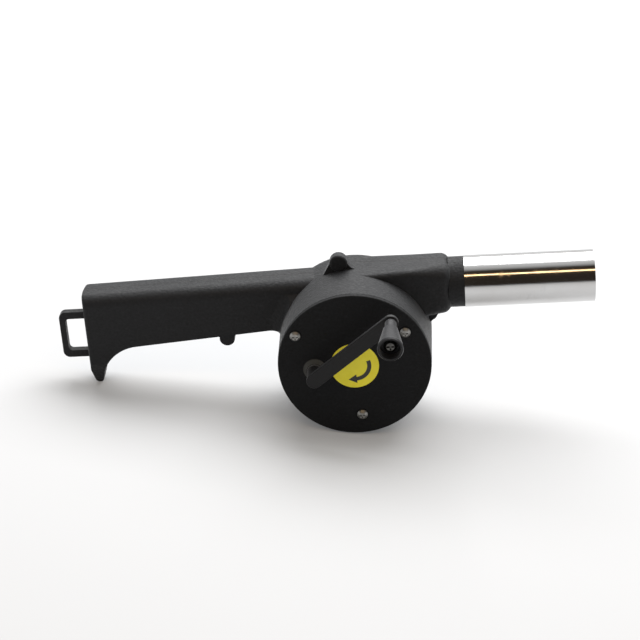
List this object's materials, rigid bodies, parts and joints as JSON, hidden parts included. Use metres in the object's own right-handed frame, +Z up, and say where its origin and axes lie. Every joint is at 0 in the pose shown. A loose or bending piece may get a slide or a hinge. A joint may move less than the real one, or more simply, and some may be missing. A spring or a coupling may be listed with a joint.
{
  "type": "hand crank fan",
  "caption": "Hand cranked centrifugal blower: round gear case with side crank and knob, straight handle with hook and hanging loop, round metal outlet tube.",
  "frame": {"origin": "on the ground under the middle of the part's box, standing on the round case and the hook's tip", "axes": "+X towards the outlet tube's mouth, +Y towards the intake side (the crank is on the -Y side), +Z up"},
  "size_m": [0.2586, 0.0918, 0.0883],
  "materials": {
    "shell_plastic": "fine moulded texture, matte black",
    "cover_plastic": "fine moulded texture, matte black",
    "crank_plastic": "satin black",
    "knob_plastic": "satin black",
    "tube_steel": "polished stainless steel",
    "label_yellow": "matte printed film",
    "screw_steel": "nickel plated",
    "shaft_steel": "ground",
    "bush_brass": "sintered",
    "gear_plastic": "natural acetal",
    "impeller_plastic": "moulded black"
  },
  "bodies": {
    "housing": {"front_shell": "shell_plastic", "back_shell": "shell_plastic", "gear_cover": "cover_plastic", "outlet_tube": "tube_steel", "label": "label_yellow", "cover_screws": "screw_steel", "shell_screws": "screw_steel", "compound_pin": "shaft_steel", "crank_washer": "crank_plastic", "crank_bush": "bush_brass", "impeller_bush": "bush_brass"},
    "crank": {"crank_arm": "crank_plastic", "crank_shaft": "shaft_steel", "crank_gear": "gear_plastic", "knob_screw": "screw_steel"},
    "knob": {"knob": "knob_plastic"},
    "compound": {"compound_gear": "gear_plastic"},
    "impeller": {"impeller": "impeller_plastic", "impeller_shaft": "shaft_steel", "impeller_gear": "gear_plastic"}
  },
  "joints": [
    {"name": "crank_turn", "type": "hinge", "parent": "housing", "child": "crank", "pos_m": [-0.00212, -0.00885, 0.03333], "axis": [0, 1, 0], "continuous": true},
    {"name": "knob_spin", "type": "hinge", "parent": "crank", "child": "knob", "pos_m": [0.031, -0.01945, 0.06639], "axis": [0, 1, 0], "continuous": true},
    {"name": "compound_turn", "type": "hinge", "parent": "housing", "child": "compound", "pos_m": [0.00954, 0.00325, 0.02297], "axis": [0, 1, 0], "continuous": true},
    {"name": "impeller_turn", "type": "hinge", "parent": "housing", "child": "impeller", "pos_m": [0.01636, 0.01485, 0.037], "axis": [0, 1, 0], "continuous": true}
  ],
  "couplings": [
    {"joint": "compound_turn", "follows": "crank_turn", "ratio": -3.3333},
    {"joint": "impeller_turn", "follows": "crank_turn", "ratio": 11.111}
  ]
}
